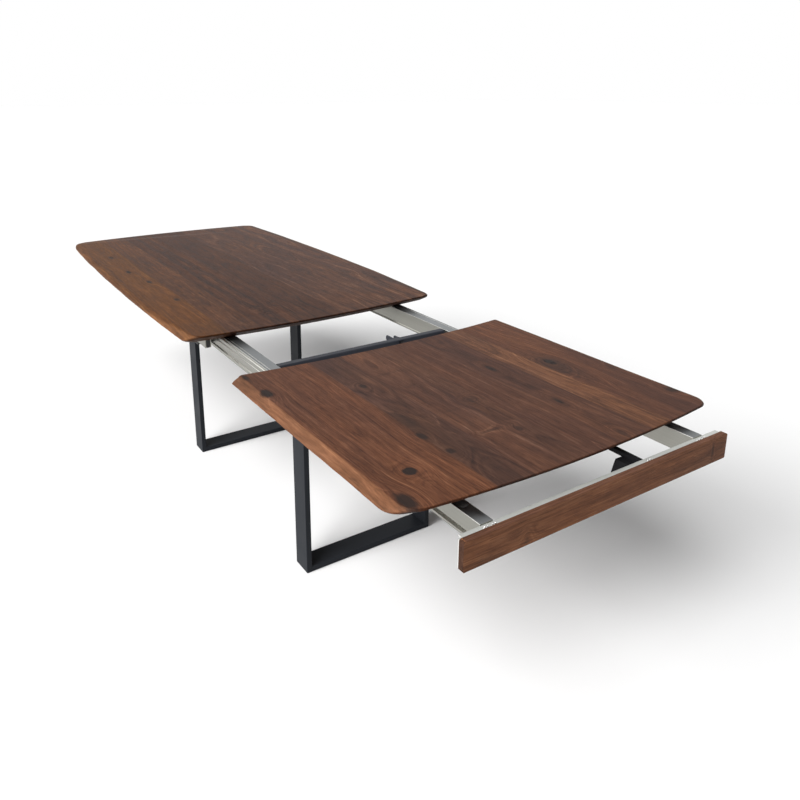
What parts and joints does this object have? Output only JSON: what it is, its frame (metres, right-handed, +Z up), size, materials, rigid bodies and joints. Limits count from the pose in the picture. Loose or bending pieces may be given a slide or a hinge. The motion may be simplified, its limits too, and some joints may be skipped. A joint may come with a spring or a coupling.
{
  "type": "extending dining table",
  "caption": "Extending dining table: boat-shaped walnut top sliding on aluminium rails, pull-out rail drawer with apron, loose leaf, and steel skid legs.",
  "frame": {"origin": "on the floor, under the middle of the opened table's length and width", "axes": "+X along the table towards the drawer's apron, +Y across it to the far side, +Z up"},
  "size_m": [2.9713, 0.999, 0.75],
  "materials": {
    "top_walnut": "oiled walnut, planks along the table, lighter live edges",
    "leaf_walnut": "oiled walnut, planks along the table, knots, lighter live edges",
    "apron_walnut": "oiled walnut, grain across the table",
    "black_steel": "satin anthracite powder coat",
    "batten_steel": "black lacquered flat steel",
    "aluminium_rail": "satin anodised, drawn along the rail",
    "zinc_fastener": "zinc plated",
    "black_plastic": "moulded, matt black",
    "pale_plastic": "natural acetal strip, matt",
    "felt": "pressed dark felt"
  },
  "bodies": {
    "frame": {"left_leg_near_post": "black_steel", "left_leg_far_post": "black_steel", "left_leg_floor_bar": "black_steel", "left_leg_top_plate": "black_steel", "left_leg_floor_pads": "felt", "right_leg_near_post": "black_steel", "right_leg_far_post": "black_steel", "right_leg_floor_bar": "black_steel", "right_leg_top_plate": "black_steel", "right_leg_floor_pads": "felt", "left_cross_tube": "black_steel", "left_cross_tube_caps": "black_plastic", "right_cross_tube": "black_steel", "right_cross_tube_caps": "black_plastic", "near_fixed_rail": "aluminium_rail", "far_fixed_rail": "aluminium_rail", "near_wear_strip": "pale_plastic", "far_wear_strip": "pale_plastic", "near_glide_block_front": "black_plastic", "near_glide_block_rear": "black_plastic", "far_glide_block_front": "black_plastic", "far_glide_block_rear": "black_plastic", "glide_block_bolts": "zinc_fastener", "leg_plate_bolts": "zinc_fastener"},
    "top": {"main_top": "top_walnut", "near_top_rail": "aluminium_rail", "far_top_rail": "aluminium_rail", "near_top_rail_plugs": "black_plastic", "far_top_rail_plugs": "black_plastic", "top_rail_screws": "zinc_fastener", "top_batten_left": "batten_steel", "top_batten_middle": "batten_steel", "top_batten_right": "batten_steel", "top_batten_screws": "zinc_fastener"},
    "drawer": {"near_drawer_rail": "aluminium_rail", "far_drawer_rail": "aluminium_rail", "near_drawer_rail_cap": "black_plastic", "far_drawer_rail_cap": "black_plastic", "rail_end_screws": "zinc_fastener", "apron_panel": "apron_walnut", "apron_backing": "aluminium_rail", "apron_screws": "zinc_fastener", "backing_button_screws": "zinc_fastener", "stop_bar": "black_steel", "stop_fork": "black_steel", "stop_bar_bracket": "black_steel"},
    "leaf": {"leaf": "leaf_walnut", "leaf_batten_inner": "batten_steel", "leaf_batten_outer": "batten_steel", "leaf_batten_screws": "zinc_fastener", "leaf_rest_pads": "felt", "leaf_locating_blocks": "black_plastic", "leaf_block_screws": "zinc_fastener"}
  },
  "joints": [
    {"name": "top_slide", "type": "slide", "parent": "frame", "child": "top", "axis": [1, 0, 0], "range_m": [0, 0.366]},
    {"name": "drawer_slide", "type": "slide", "parent": "frame", "child": "drawer", "axis": [1, 0, 0], "range_m": [-0.63, 0]},
    {"name": "leaf_lift", "type": "slide", "parent": "frame", "child": "leaf", "axis": [0, 0, 1], "range_m": [0, 0.3]}
  ]
}
